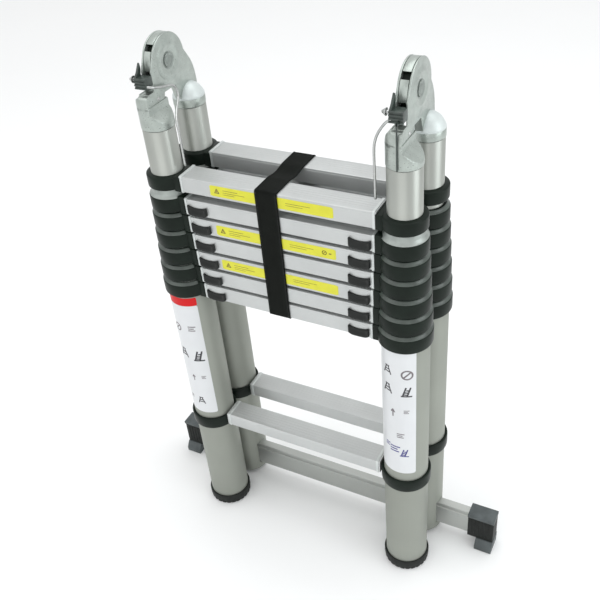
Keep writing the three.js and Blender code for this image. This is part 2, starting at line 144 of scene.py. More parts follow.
def raise_by(material, height, strength, distance):
    """Bump: a value lifts the surface by up to distance, in metres."""
    tree = material.node_tree
    relief = tree.nodes.new("ShaderNodeBump")
    relief.inputs["Strength"].default_value = strength
    relief.inputs["Distance"].default_value = distance
    tree.links.new(height, relief.inputs["Height"])
    tree.links.new(relief.outputs["Normal"], tree.nodes["Principled BSDF"].inputs["Normal"])


def look(name, color, rough, metal=0.0, vary=0.06, blotch=18, grain=(300, 300, 300), grain_rough=0.08,
         bump=0.0, bump_size=0.0004, coat=0.0, specular=0.5, sheen=0.0, wear=None):
    """A procedural finish: soft blotches of colour, and a fine grain in roughness and bump.

    grain is the grain's frequency along X, Y and Z, per metre. wear adds lighter rubbed specks."""
    material = bpy.data.materials.new(name)
    material.use_nodes = True
    tree = material.node_tree
    nodes, links = tree.nodes, tree.links
    shader = nodes["Principled BSDF"]
    shader.inputs["Metallic"].default_value = metal
    shader.inputs["Coat Weight"].default_value = coat
    shader.inputs["Coat Roughness"].default_value = 0.12
    shader.inputs["Specular IOR Level"].default_value = specular
    shader.inputs["Sheen Weight"].default_value = sheen
    shader.inputs["Sheen Roughness"].default_value = 0.4
    place = nodes.new("ShaderNodeTexCoord").outputs["Object"]

    soft = noise(tree, place, blotch, 4)
    dark = [c * (1 - vary) for c in color] + [1]
    light = [min(1, c * (1 + vary)) for c in color] + [1]
    color_out = ramp(tree, soft.outputs["Fac"], (0.3, dark), (0.7, light))

    stretch = nodes.new("ShaderNodeMapping")
    stretch.inputs["Scale"].default_value = grain
    links.new(place, stretch.inputs["Vector"])
    fine = noise(tree, stretch.outputs["Vector"], 1, 3)

    if wear:
        rubbed = noise(tree, place, wear["scale"], 8)
        rubbed.inputs["Roughness"].default_value = 0.7
        mask = ramp(tree, rubbed.outputs["Fac"], (wear["from"], (0, 0, 0, 1)), (wear["to"], (1, 1, 1, 1)))
        mix = nodes.new("ShaderNodeMix")
        mix.data_type = "RGBA"
        links.new(mask, mix.inputs["Factor"])
        links.new(color_out, mix.inputs["A"])
        mix.inputs["B"].default_value = list(wear["color"]) + [1]
        color_out = mix.outputs["Result"]
    links.new(color_out, shader.inputs["Base Color"])

    spread = nodes.new("ShaderNodeMapRange")
    spread.inputs["To Min"].default_value = max(0.02, rough - grain_rough)
    spread.inputs["To Max"].default_value = min(1, rough + grain_rough)
    links.new(fine.outputs["Fac"], spread.inputs["Value"])
    links.new(spread.outputs["Result"], shader.inputs["Roughness"])
    if bump:
        raise_by(material, fine.outputs["Fac"], bump, bump_size)
    return material


def weave_look(name, color):
    """Woven webbing, on the band's own UV lengths: fine ribs across it, and warp threads along it."""
    material = look(name, color, 0.85, vary=0.18, blotch=60, grain=(500, 500, 500), sheen=0.03,
                    specular=0.10)
    nodes, links = material.node_tree.nodes, material.node_tree.links
    place = nodes.new("ShaderNodeTexCoord")
    weave = nodes.new("ShaderNodeMath")
    weave.operation = "MULTIPLY"
    for k, (direction, scale) in enumerate((("X", 90), ("Y", 130))):
        wave = nodes.new("ShaderNodeTexWave")
        wave.bands_direction = direction
        wave.inputs["Scale"].default_value = scale
        wave.inputs["Distortion"].default_value = 0.4
        links.new(place.outputs["UV"], wave.inputs["Vector"])
        links.new(wave.outputs["Fac"], weave.inputs[k])
    raise_by(material, weave.outputs["Value"], 0.6, 0.0005)
    return material


LOOKS = {
    # The upper tubes and the base tubes are one satin aluminium in two tones: the upper tubes' lighter copy
    # paints light on them, and the base tubes' darker copy paints shade on the lower tubes.
    "tube": look("tube_satin_aluminium", (0.40, 0.415, 0.385), 0.36, 0.75, vary=0.06, blotch=9,
                 grain=(1400, 1400, 9), grain_rough=0.07, bump=0.12, bump_size=0.00015),
    "base_tube": look("base_tube_aluminium_shaded_copy", (0.30, 0.315, 0.28), 0.52, 0.5, vary=0.06, blotch=7,
                      grain=(1400, 1400, 9), grain_rough=0.07, bump=0.12, bump_size=0.00015),
    "rung": look("rung_satin_aluminium", (0.53, 0.545, 0.54), 0.42, 0.6, vary=0.05, blotch=14,
                 grain=(9, 1400, 1400), grain_rough=0.07, bump=0.12, bump_size=0.00015),
    "trim": look("rung_end_plate", (0.60, 0.63, 0.62), 0.42, 0.5, vary=0.06, blotch=60,
                 grain=(700, 700, 700), bump=0.1),
    "collar": look("collar_black_nylon", (0.0075, 0.0125, 0.009), 0.36, vary=0.25, blotch=35, specular=0.14,
                   grain=(1500, 1500, 1500), grain_rough=0.1, bump=0.25, bump_size=0.00012),
    # The lip look is the collar's black nylon made lighter and glossier: a painted highlight on the collar
    # lips.
    "lip": look("collar_lip_painted_highlight", (0.055, 0.07, 0.06), 0.3, vary=0.3, blotch=60, specular=0.6,
                grain=(1500, 1500, 1500), grain_rough=0.1, bump=0.2, bump_size=0.0001),
    "bare_lip": look("collar_lip_bare", (0.34, 0.37, 0.35), 0.4, 0.6, vary=0.15, blotch=60,
                     grain=(700, 700, 700), bump=0.1),
    "latch": look("latch_black_nylon", (0.008, 0.0095, 0.0085), 0.36, vary=0.2, blotch=80, specular=0.3,
                  grain=(1300, 1300, 1300), grain_rough=0.08, bump=0.2, bump_size=0.0001),
    "lock": look("lock_black_nylon", (0.03, 0.042, 0.036), 0.34, vary=0.3, blotch=120, specular=0.6,
                 grain=(1300, 1300, 1300), grain_rough=0.1, bump=0.25, bump_size=0.0001),
    "cast": look("hinge_cast_aluminium", (0.39, 0.43, 0.40), 0.32, 0.72, vary=0.10, blotch=70,
                 grain=(420, 420, 420), grain_rough=0.14, bump=0.3, bump_size=0.0003,
                 wear={"scale": 240, "from": 0.58, "to": 0.72, "color": (0.46, 0.50, 0.475)}),
    "cap": look("hinge_cap_pale", (0.60, 0.65, 0.64), 0.42, 0.3, vary=0.05, blotch=40,
                grain=(600, 600, 600), grain_rough=0.08, bump=0.15, bump_size=0.0002),
    "pin": look("pivot_head", (0.27, 0.30, 0.28), 0.38, 0.8, vary=0.12, blotch=150,
                grain=(700, 700, 700), grain_rough=0.1, bump=0.2, bump_size=0.0002),
    "steel": look("plain_steel", (0.50, 0.51, 0.50), 0.3, 1.0, vary=0.1, blotch=120,
                  grain=(900, 900, 900), grain_rough=0.12, bump=0.2, bump_size=0.0001),
    "bar": look("bar_satin_aluminium", (0.44, 0.455, 0.435), 0.38, 0.75, vary=0.05, blotch=12,
                grain=(8, 1300, 1300), grain_rough=0.08, bump=0.15, bump_size=0.00015),
    "rubber": look("foot_rubber", (0.009, 0.011, 0.0095), 0.6, vary=0.35, blotch=90, specular=0.3,
                   grain=(900, 900, 900), grain_rough=0.14, bump=0.45, bump_size=0.0003,
                   wear={"scale": 180, "from": 0.62, "to": 0.8, "color": (0.03, 0.032, 0.03)}),
    "bar_rubber": look("bar_foot_slate", (0.075, 0.088, 0.09), 0.5, vary=0.2, blotch=60, specular=0.4,
                       grain=(900, 900, 900), grain_rough=0.12, bump=0.35, bump_size=0.0003,
                       wear={"scale": 160, "from": 0.62, "to": 0.8, "color": (0.12, 0.13, 0.13)}),
    "strap": weave_look("strap_black_webbing", (0.006, 0.0075, 0.006)),
    "thread": look("strap_stitching", (0.014, 0.016, 0.015), 0.7, vary=0.2, blotch=400),
    "white": look("label_white_film", (0.66, 0.675, 0.69), 0.34, vary=0.02, blotch=30,
                  grain=(260, 260, 260), grain_rough=0.06, bump=0.05, coat=0.2),
    "yellow": look("label_yellow_film", (0.64, 0.625, 0.025), 0.38, vary=0.05, blotch=70,
                   grain=(400, 400, 400), grain_rough=0.06, bump=0.05, coat=0.1),
    "red": look("label_red_film", (0.60, 0.008, 0.01), 0.45, vary=0.05, blotch=60, specular=0.15,
                grain=(400, 400, 400), grain_rough=0.06, bump=0.05, coat=0.15),
    "ink": look("label_ink_dark", (0.035, 0.035, 0.04), 0.5, vary=0.3, blotch=500),
    "ink_grey": look("label_ink_grey", (0.16, 0.14, 0.15), 0.5, vary=0.2, blotch=500),
    "ink_blue": look("label_ink_blue", (0.06, 0.06, 0.22), 0.5, vary=0.3, blotch=500),
    "ink_brown": look("label_ink_brown", (0.16, 0.11, 0.02), 0.5, vary=0.3, blotch=500),
}


# ---- Shapes: a shape is (points, faces), in millimetres ----
def join(*shapes):
    points, faces = [], []
    for p, f in shapes:
        base = len(points)
        points += p
        faces += [[base + k for k in face] for face in f]
    return points, faces


def upright(x, y):
    return lambda r, a, t: (x + r * math.cos(a), y + r * math.sin(a), t)


def crosswise(y, z):
    return lambda r, a, t: (t, y + r * math.cos(a), z + r * math.sin(a))


def deepwise(x, z):
    return lambda r, a, t: (x + r * math.cos(a), t, z + r * math.sin(a))


def spin(profile, place, sides=64, loop=False):
    """Turns [radius, height] points about an axis.

    A loop joins its last point to its first; otherwise both ends are closed with a flat face."""
    points, rows = [], []
    for r, t in profile:
        if r < 1e-6:
            rows.append([len(points)] * sides)
            points.append(place(0, 0, t))
        else:
            rows.append(list(range(len(points), len(points) + sides)))
            points += [place(r, 2 * math.pi * k / sides, t) for k in range(sides)]
    faces = []
    pairs = list(zip(rows, rows[1:])) + ([(rows[-1], rows[0])] if loop else [])
    for a, b in pairs:
        for k in range(sides):
            n = (k + 1) % sides
            face = []
            for v in (a[k], a[n], b[n], b[k]):
                if v not in face:
                    face.append(v)
            if len(face) > 2:
                faces.append(face)
    if not loop:
        faces += [row for row in (rows[0], rows[-1]) if row[0] != row[1]]
    return points, faces


def on_stiles(profile, y):
    """The same closed ring about both stiles of a half."""
    return join(*[spin(profile, upright(s * STILE_X, y), STILE_SIDES, True) for _, s in SIDES])


def prism(outline, place, t0, t1):
    """Extrudes a closed outline of [u, v] from t0 to t1; place maps (u, v, t) to a point."""
    n = len(outline)
    points = [place(u, v, t0) for u, v in outline] + [place(u, v, t1) for u, v in outline]
    faces = [[k, (k + 1) % n, n + (k + 1) % n, n + k] for k in range(n)]
    return points, faces + [list(range(n)), list(range(n, 2 * n))]


def along_x(u, v, t):
    return (t, u, v)


def along_y(u, v, t):
    return (u, t, v)


def along_z(u, v, t):
    return (u, v, t)


def block(x0, x1, y0, y1, z0, z1):
    return prism([(x0, y0), (x1, y0), (x1, y1), (x0, y1)], along_z, z0, z1)


def arc(cx, cy, r, start, end, steps):
    angles = [math.radians(start + (end - start) * k / steps) for k in range(steps + 1)]
    return [(cx + r * math.cos(a), cy + r * math.sin(a)) for a in angles]


def rounded(u0, u1, v0, v1, r, steps=4):
    return (arc(u0 + r, v0 + r, r, 180, 270, steps) + arc(u1 - r, v0 + r, r, 270, 360, steps)
            + arc(u1 - r, v1 - r, r, 0, 90, steps) + arc(u0 + r, v1 - r, r, 90, 180, steps))


def loft(rings):
    """Joins rings of points, all with the same count, and closes both ends."""
    n = len(rings[0])
    points = [p for ring in rings for p in ring]
    faces = []
    for a in range(len(rings) - 1):
        for k in range(n):
            m = (k + 1) % n
            faces.append([a * n + k, a * n + m, (a + 1) * n + m, (a + 1) * n + k])
    return points, faces + [list(range(n)), [(len(rings) - 1) * n + k for k in range(n)]]


def smooth_path(points, per=8):
    """A Catmull-Rom curve through the points, with per steps from each to the next."""
    pts = [Vector(p) for p in points]
    pts = [2 * pts[0] - pts[1]] + pts + [2 * pts[-1] - pts[-2]]
    out = []
    for k in range(1, len(pts) - 2):
        a, b, c, d = pts[k - 1:k + 3]
        for m in range(per):
            t = m / per
            out.append(0.5 * (2 * b + (c - a) * t + (2 * a - 5 * b + 4 * c - d) * t * t
                              + (3 * b - a - 3 * c + d) * t ** 3))
    out.append(pts[-2])
    return out


def wire(points, radius, sides=12):
    """A round wire along a smooth path, with its ends rounded off."""
    path = smooth_path(points)
    ahead = (path[1] - path[0]).normalized()
    side = ahead.orthogonal().normalized()
    turns = [2 * math.pi * m / sides for m in range(sides)]
    rings = []
    for k, p in enumerate(path):
        tangent = (path[min(k + 1, len(path) - 1)] - path[max(k - 1, 0)]).normalized()
        side = (side - tangent * side.dot(tangent)).normalized()
        other = tangent.cross(side)
        rings.append([tuple(p + side * radius * math.cos(a) + other * radius * math.sin(a)) for a in turns])
    first = [tuple(path[0] + (Vector(q) - path[0]) * 0.55 - ahead * radius * 0.6) for q in rings[0]]
    last_way = (path[-1] - path[-2]).normalized()
    last = [tuple(path[-1] + (Vector(q) - path[-1]) * 0.55 + last_way * radius * 0.6) for q in rings[-1]]
    return loft([first] + rings + [last])


# ---- Objects ----
def add(name, data):
    obj = bpy.data.objects.new(name, data)
    bpy.context.scene.collection.objects.link(obj)
    return obj


def make(name, shape, finish, bevel=0.0, steps=2, angle=30, sharp=40):
    """A mesh object in metres. Edges past angle are bevelled, and those past sharp stay sharp."""
    bm = bmesh.new()
    for p in shape[0]:
        bm.verts.new([c * MM for c in p])
    bm.verts.ensure_lookup_table()
    for face in shape[1]:
        bm.faces.new([bm.verts[k] for k in face])
    bmesh.ops.recalc_face_normals(bm, faces=bm.faces)
    if bevel:
        edges = [e for e in bm.edges
                 if len(e.link_faces) == 2 and e.calc_face_angle(0) > math.radians(angle)]
        bmesh.ops.bevel(bm, geom=edges, offset=bevel * MM, segments=steps, profile=0.5,
                        affect="EDGES", clamp_overlap=True)
    for face in bm.faces:
        face.smooth = True
    mesh = bpy.data.meshes.new(name)
    bm.to_mesh(mesh)
    bm.free()
    mesh.set_sharp_from_angle(angle=math.radians(sharp))
    if finish:
        mesh.materials.append(LOOKS[finish])
    return add(name, mesh)


def carve(obj, shape):
    """Cuts a shape out of an object, and keeps the result as its mesh."""
    cutter = make(f"{obj.name}_cutter", shape, None)
    change = obj.modifiers.new("carve", "BOOLEAN")
    change.operation = "DIFFERENCE"
    change.solver = "EXACT"
    change.object = cutter
    bpy.context.view_layer.update()
    graph = bpy.context.evaluated_depsgraph_get()
    mesh = bpy.data.meshes.new_from_object(obj.evaluated_get(graph))
    obj.modifiers.clear()
    obj.data = mesh
    mesh.set_sharp_from_angle(angle=math.radians(40))
    bpy.data.objects.remove(cutter)


def fit(obj, body, slot, *nodes):
    """The piece rides on a body and stands for CAD nodes. slot is not used."""
    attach(obj, body)
    if nodes:
        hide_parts(*nodes)


# ---- Tubes ----
def tube_profile(radius, low, high):
    inner = radius - TUBE_WALL
    return [(inner, low + 0.4), (inner + 0.4, low), (radius - 0.5, low), (radius, low + 0.5),
            (radius, high - 0.5), (radius - 0.4, high), (inner + 0.3, high), (inner, high - 0.3)]


# ---- Collars ----
def collar_profile(i):
    """Black collar with a rounded lower edge and a bevelled lip that closes on the next tube up."""
    R, low, top = collar_r(i), collar_low(i), collar_top(i)
    inside = tube_r(i) + 0.02
    profile = [(inside, low + 0.6), (inside + 0.6, low), (R - 2.2, low), (R - 0.9, low + 0.35),
               (R - 0.2, low + 1.2), (R, low + 2.4), (R, top - 1.6), (R - 0.35, top - 0.6), (R - 1.0, top)]
    if i == 1:
        return profile + [(R - 4.2, top + 0.5), (tube_r(1) + 0.3 + 0.8, top + 1.5), (inside, top + 1.5)]
    lip_r, lip_top = R - 5.5, top + 5.2
    throat = tube_r(i) - TUBE_WALL + 0.05
    return profile + [(R - 1.7, top + 0.25), (R - 2.9, top + 1.6), (R - 4.0, top + 3.2),
                      (lip_r + 0.1, lip_top - 0.5), (lip_r - 0.6, lip_top), (throat + 0.3, lip_top),
                      (throat, lip_top - 0.4), (throat, top - 2), (inside, top - 2.2)]


def lip_ring_profile(i):
    """Bare metal ring over a collar's bevelled lip, drawn up into a sleeve under the next collar."""
    R, top = collar_r(i), collar_top(i)
    lip_top = top + 5.2
    sleeve_top = collar_low(i - 1) - 0.5
    return [(R - 1.4, top - 0.15), (R - 0.8, top + 0.35), (R - 1.6, top + 0.9), (R - 2.7, top + 2.1),
            (R - 3.8, top + 3.7), (R - 4.9, lip_top), (R - 5.35, lip_top + 1.2),
            (R - 5.45, sleeve_top - 0.6), (R - 5.9, sleeve_top), (R - 6.7, sleeve_top),
            (R - 7.0, sleeve_top - 0.6), (R - 7.0, lip_top + 0.2), (R - 6.4, lip_top - 0.3),
            (R - 4.6, top + 3.0), (R - 3.2, top + 1.2)]


def lip_profile(i):
    """Smooth moulded lip over the bevel on top of a collar, in a lighter, glossier nylon than the collar: a
    painted highlight on the bevel.
    """
    R, top = collar_r(i), collar_top(i)
    return [(R - 1.4, top - 0.15), (R - 0.7, top + 0.35), (R - 1.5, top + 0.95), (R - 2.7, top + 2.2),
            (R - 3.8, top + 3.7), (R - 4.8, top + 5.1), (R - 5.6, top + 5.35), (R - 6.1, top + 4.9),
            (R - 4.6, top + 2.6), (R - 3.0, top + 0.9)]


def collar_block(x_out, s, y, low, high):
    """Flat side block between the round collar and the rung."""
    x_in = x_out + BLOCK_OUT + BLOCK_IN
    return block(s * x_out, s * x_in, y - BLOCK_HALF_DEEP, y + BLOCK_HALF_DEEP, low, high)


# ---- Rungs ----
def rung_profile(y, low):
    """Rounded box section with grip ribs along the tread and a shallow groove in both walls."""
    half = RUNG_DEEP / 2
    high = low + RUNG_TALL
    r = 1.6
    groove = [(0, 4.2), (0.35, 3.8), (0.35, 3.2), (0, 2.8)]
    points = arc(y - half + r, low + r, r, 180, 270, 3) + arc(y + half - r, low + r, r, 270, 360, 3)
    points += [(y + half - deep, high - down) for deep, down in groove]
    points += arc(y + half - r, high - r, r, 0, 90, 3)
    for k in range(5):
        c = y + 12 - 6 * k
        points += [(c + 0.9, high), (c + 0.5, high - 0.25), (c - 0.5, high - 0.25), (c - 0.9, high)]
    points += arc(y - half + r, high - r, r, 90, 180, 3)
    return points + [(y - half + deep, high - down) for deep, down in reversed(groove)]


def end_plate(x_from, x_to, s, y, low, high):
    """Thin pressed plate round the end of a rung."""
    outer = rounded(y - 20.9, y + 20.9, low, high, 2.0, 3)
    return prism(outer, along_x, s * x_from, s * x_to)


def add_rung(name, ends_name, body, node, y, low, reach, x_from, x_to, under, over):
    """A rung, and the plates round its ends, which stand out by under and over."""
    rung = make(name, prism(rung_profile(y, low), along_x, -reach, reach), "rung", sharp=30)
    fit(rung, body, "rung_aluminium", node)
    plates = join(*[end_plate(x_from, x_to, s, y, low - under, low + RUNG_TALL + over) for _, s in SIDES])
    fit(make(ends_name, plates, "trim", bevel=0.5), body, "rung_aluminium")


# ---- Latches ----
def latch_shape(half_y, out, x, low):
    """Thumb latch: scooped top edge, crowned lower edge, and a dished face that the thumb pushes."""
    face = half_y + out * (RUNG_DEEP / 2 + GAP)
    a = LATCH_LONG / 2
    scoop, crown, dish_deep, rim_back, rib_high = 3.4, 3.2, 2.5, 1.3, 0.35
    columns, rows = 22, 9
    grid = []
    for m in range(rows + 1):
        v = m / rows
        line = []
        for k in range(columns + 1):
            u = -1 + 2 * k / columns
            top = LATCH_TALL - scoop * max(0.0, 1 - (u / 0.9) ** 2) ** 0.8
            bottom = crown * abs(u) ** 5 + 0.8 * u * u
            z = low + bottom + (top - bottom) * v
            dish = max(0.0, 1 - (abs(u) / 0.86) ** 6) * (1 / (1 + math.exp(-(v - 0.52) * 11)))
            thick = LATCH_THICK - dish_deep * dish
            if 0.1 < v < 0.5:
                fade = max(0.0, 1 - (abs(u) / 0.7) ** 4)
                thick -= rib_high * max(0.0, math.cos(u * 9 * math.pi)) * fade
            if m in (0, rows) or k in (0, columns):
                thick -= rim_back
            line.append((x + a * u, face + out * thick, z))
        grid.append(line)
    points = [p for line in grid for p in line]
    back = [(p[0], face, p[2]) for p in points]
    n = columns + 1
    faces = []
    for m in range(rows):
        for k in range(columns):
            c = m * n + k
            faces.append([c, c + 1, c + n + 1, c + n])
            faces.append([len(points) + q for q in (c, c + n, c + n + 1, c + 1)])
    rim = (list(range(n)) + [m * n + columns for m in range(1, rows + 1)]
           + [rows * n + k for k in range(columns - 1, -1, -1)] + [m * n for m in range(rows - 1, 0, -1)])
    for k, p in enumerate(rim):
        q = rim[(k + 1) % len(rim)]
        faces.append([p, q, len(points) + q, len(points) + p])
    return points + back, faces


# ---- Telescoping sections ----
for half, y, out in HALVES:
    for i in range(1, SECTIONS + 1):
        body = body_of(half, i)
        base = i == SECTIONS
        R = collar_r(i)
        node = f"{half}_base_upper_rung" if base else f"{half}_section_{i}"
        low, top = collar_low(i), collar_top(i)

        if base:
            for side, s in SIDES:
                # The base tubes take the darker copy of the tube aluminium: painted shade.
                profile = tube_profile(tube_r(i), BASE_TUBE_LOW[half], top - 2)
                tube = make(f"{half}_base_tube_{side}_drawn",
                            spin(profile, upright(s * STILE_X, y), STILE_SIDES, True), "base_tube")
                if half == "rear":
                    carve(tube, block(s * (STILE_X - 60), s * (STILE_X + 60), BAR_Y - BAR_DEEP / 2 - GAP,
                                      BAR_Y + BAR_DEEP / 2 + GAP, BAR_LOW - GAP, BAR_HIGH + GAP))
                fit(tube, body, "tube_aluminium", f"{half}_base_tube_{side}")
        else:
            tube_top = TUBE_1_TOP if i == 1 else top - 1
            tubes = on_stiles(tube_profile(tube_r(i), top - TUBE_BELOW_COLLAR, tube_top), y)
            fit(make(f"{half}_tubes_{i}", tubes, "tube"), body, "tube_aluminium", node)

        collars = on_stiles(collar_profile(i), y)
        fit(make(f"{half}_collars_{i}", collars, "collar", sharp=50), body, "collar_plastic", node)
        block_low = low - (2.4 if base or i == 1 else 4)
        block_top = top + (0.8 if i == 1 else 3.2)
        side_x = block_x(R)
        blocks = join(*[collar_block(side_x, s, y, block_low, block_top) for _, s in SIDES])
        blocks = make(f"{half}_collar_blocks_{i}", blocks, "collar", bevel=1.4, steps=3)
        fit(blocks, body, "collar_plastic", node)
        if i == 2 and half == "front":
            rings = on_stiles(lip_ring_profile(i), y)
            fit(make(f"{half}_lip_rings_{i}", rings, "bare_lip", sharp=50), body, "tube_aluminium")
        elif i > 1:
            # Lighter lip rings over the collar bevels: painted highlight.
            lip_highlights = on_stiles(lip_profile(i), y)
            fit(make(f"{half}_lips_{i}", lip_highlights, "lip", sharp=50), body, "collar_plastic")

        add_rung(f"{half}_rung_{i}", f"{half}_rung_ends_{i}", body, node, y, rung_low(i), side_x + 1,
                 side_x - 4.6, side_x - 0.4, 1.2, 1.6)

        if i > 1:
            for side, s in SIDES:
                latch = f"{half}_latch_{i}_{side}"
                x = s * (side_x - LATCH_FROM_BLOCK - LATCH_LONG / 2)
                grip = make(f"{latch}_grip", latch_shape(y, out, x, rung_low(i) + 0.4), "latch", sharp=60)
                fit(grip, latch, "latch_plastic", latch)

    # Bottom rung with its black rings.
    body = body_of(half, SECTIONS)
    node = f"{half}_base_lower_rung"
    R = collar_r(SECTIONS)
    inner = tube_r(SECTIONS) + 0.3
    ring = [(inner, RING_LOW + 0.6), (inner + 0.6, RING_LOW), (R - 1.6, RING_LOW), (R - 0.4, RING_LOW + 0.6),
            (R, RING_LOW + 2), (R, RING_HIGH - 2.2), (R - 0.5, RING_HIGH - 0.8), (R - 1.8, RING_HIGH),
            (inner + 1.2, RING_HIGH), (inner, RING_HIGH - 1)]
    fit(make(f"{half}_bottom_rings", on_stiles(ring, y), "collar", sharp=50), body, "collar_plastic", node)
    side_x = block_x(R)
    add_rung(f"{half}_bottom_rung", f"{half}_bottom_rung_ends", body, node, y, LOWER_RUNG_LOW,
             STILE_X - R + 1.5, side_x - 3.5, side_x + 1.5, 0.8, 0.8)


# ---- Hinges ----
def cheek_outline():
    """The front plate's outline, with the step that the lock bar slides in."""
    return ([(-66, 888), (-62, 876), (-26, 876), (-22, 888), (8, 888), (22, 896.8), (30, 903.6)]
            + arc(0, PIVOT_Z, DISC_R - 0.1, -34, 146, 36)
            + [(-46.6, 927.3), (-46.5, 926.5), (-46.5, 898.5), (-60.8, 898.5)])


def tongue_outline():
    """The rear plate's outline, cast in one with the cap behind it."""
    return ([(65.6, 889), (67, 872), (64, 857), (20, 857), (13, 880)]
            + arc(0, PIVOT_Z, DISC_R - 0.4, -78, -326, 40)
            + [(39.6, 942.4), (45.5, 930.5), (52.6, 919.6), (59, 909.5), (63.2, 899)])


def cap_ring(cx, cy, z, r, lo, hi, reach=40, count=96):
    """A circle of radius r, squared off at x = lo and x = hi and at reach in front and behind."""
    ring = []
    for k in range(count):
        a = 2 * math.pi * k / count
        x = min(max(cx + r * math.cos(a), lo), hi)
        ring.append((x, cy + min(max(r * math.sin(a), -reach), reach), z))
    return ring


def crown_profile():
    """The crown of a round cap, from its shoulder up."""
    return [(CAP_R - back, CAP_LOW + up) for back, up in (
        (CAP_R, 12), (1.2, 12), (0.15, 13), (0.2, 15.4), (1.5, 18.4), (3.4, 22.2), (6.2, 26.4), (9.8, 30.0),
        (14.0, 33.0), (18.2, 35.2), (22.4, 36.4), (CAP_R, 36.9))]


def both_faces(profile, x, out, sides, loop=False):
    """A round [radius, height] piece about the pivot on both sides of a hinge, out from its middle."""
    return join(*[spin([(r, x + k * out + k * up) for r, up in profile], crosswise(0, PIVOT_Z), sides, loop)
                  for k in (-1, 1)])


def turned(outline, degrees):
    """An outline of [outward, sideways] points, turned to an angle about the pivot."""
    a = math.radians(degrees)
    c, s = math.cos(a), math.sin(a)
    return [(u * c - v * s, PIVOT_Z + u * s + v * c) for u, v in outline]


def notch():
    """A lock notch in the rim of the tongue, open outward."""
    near, far, w = DISC_R - NOTCH_DEEP, DISC_R + NOTCH_DEEP, NOTCH_WIDE / 2
    return [(near, -w), (far, -w), (far, w), (near, w)]


def notch_shade_lining():
    """Thin dark lining on the floor and both walls of a lock notch: painted shade inside the notch."""
    near, far, w = DISC_R - NOTCH_DEEP, DISC_R - 0.9, NOTCH_WIDE / 2
    t = NOTCH_SHADE_LINING
    return [(far, -w), (near, -w), (near, w), (far, w), (far, w - t), (near + t, w - t), (near + t, t - w),
            (far, t - w)]


def shell_neck(stile_x, x):
    """The round front cap from the tube up to the cheeks, with a leaning flat on each side."""
    lean, flare = 0.346, 1.15
    rings = [cap_ring(stile_x, -STILE_Y, z, r, x - 40, x + 40)
             for z, r in ((843.2, 25.4), (843.8, 26.1), (844.6, CAP_R))]
    for z in (850, 852, 855, 858, 861, 864, 866.4, 868.2, 870, 875, 878.6, 880):
        lo = x - 24.5 + max(0, z - 866) * lean
        hi = x + 10.4 + max(0, 868 - z) * flare
        rings.append(cap_ring(stile_x, -STILE_Y, z, CAP_R if z < 879 else CAP_R - 1, lo, hi))
    horn = [cap_ring(stile_x, -STILE_Y, z, CAP_R - inset, x - 24.4 + (z - 866) * lean + inset, x - 6,
                     23.8 - inset)
            for z, inset in ((874, 0), (880, 0), (885, 0), (889, 0.2), (891, 0.9), (892, 2.0))]
    brow = []
    for z, front in ((877, 70.5), (882, 70.3), (888, 70), (892.5, 69.6), (895, 68.6), (896.6, 67.2),
                     (897.4, 65)):
        over = max(0, z - 893)
        ring = cap_ring(stile_x, -STILE_Y, z, CAP_R - over * 0.3, x - 7.9 + over * 0.4, x + CHEEK_OUT - 0.1)
        brow.append([(a, min(max(b, -front), -60), c) for a, b, c in ring])
    return ("horn", horn, 40), ("neck", rings, 24), ("brow", brow, 30)


def front_shell(side, s, x):
    """Two cheeks, and the round cap with flats that closes over the front tube."""
    cheeks = join(*[prism(cheek_outline(), along_x, x + k * CHEEK_IN, x + k * CHEEK_OUT) for k in (-1, 1)])
    shell = make(f"hinge_shell_{side}_cheeks", cheeks, "cast", bevel=1.2, steps=4, angle=50)
    fit(shell, "front_top", "hinge_casting", f"hinge_shell_{side}")
    for piece, rings, sharp in shell_neck(s * STILE_X, x):
        solid = make(f"hinge_shell_{side}_{piece}", loft(rings), "cast", sharp=sharp)
        fit(solid, "front_top", "hinge_casting")
    saddle = prism([(-62.4, 879.4), (-26, 879.4), (-24, 887), (-46.5, 892), (-47.2, 898.3), (-60.6, 898.3),
                    (-64.4, 888)], along_x, x - 6.6, x + 6.6)
    fit(make(f"hinge_shell_{side}_saddle", saddle, "cast", bevel=0.6, steps=2), "front_top", "hinge_casting")
    dish = [(12.4, 0), (12.6, 0.35), (15.5, 0.4), (18.6, 0.85), (21.0, 1.9), (23.0, 2.2), (25.6, 1.7),
            (28.4, 0.7), (30.4, 0)]
    dishes = both_faces(dish, x, CHEEK_OUT - 0.15, 64, True)
    fit(make(f"hinge_shell_{side}_dishes", dishes, "cast", sharp=60), "front_top", "hinge_casting")
    t = x + CHEEK_OUT - 0.1
    rivet = spin([(0, t - 0.6), (3.2, t - 0.6), (3.2, t + 0.4), (2.6, t + 1.1), (1.4, t + 1.5), (0, t + 1.6)],
                 crosswise(*RIVET_AT), 24)
    fit(make(f"hinge_shell_{side}_rivet", rivet, "steel"), "front_top", "hinge_steel")


